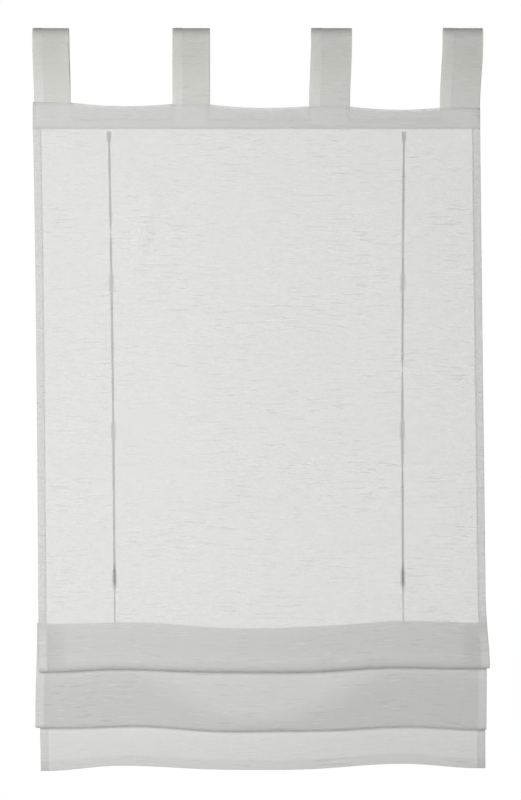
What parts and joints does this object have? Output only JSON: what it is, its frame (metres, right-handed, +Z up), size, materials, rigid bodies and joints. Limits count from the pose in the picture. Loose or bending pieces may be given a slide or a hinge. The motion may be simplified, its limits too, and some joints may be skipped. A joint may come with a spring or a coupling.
{
  "type": "roman blind",
  "caption": "Sheer tab-top roman blind, partly raised into soft pleats by lift tapes that run through guide loops sewn to its back, made to hang from a curtain rod.",
  "frame": {"origin": "on the axis of the curtain rod that the tabs hang from, at the middle of the blind's width", "axes": "+X along the rod to the right as seen from the front, +Y to the back, +Z up"},
  "size_m": [0.6083, 0.0346, 0.9957],
  "materials": {
    "sheer_cloth": "matte slub weave",
    "tab_cloth": "matte slub weave",
    "lift_tape": "matte woven tape",
    "guide_cloth": "matte slub weave"
  },
  "bodies": {
    "root": {"blind_panel": "sheer_cloth", "tab_loop_1": "tab_cloth", "tab_loop_2": "tab_cloth", "tab_loop_3": "tab_cloth", "tab_loop_4": "tab_cloth", "lift_tape_left": "lift_tape", "lift_tape_right": "lift_tape", "guide_loop_left_1": "guide_cloth", "guide_loop_left_2": "guide_cloth", "guide_loop_left_3": "guide_cloth", "guide_loop_left_4": "guide_cloth", "guide_loop_left_5": "guide_cloth", "guide_loop_right_1": "guide_cloth", "guide_loop_right_2": "guide_cloth", "guide_loop_right_3": "guide_cloth", "guide_loop_right_4": "guide_cloth", "guide_loop_right_5": "guide_cloth"}
  },
  "joints": []
}
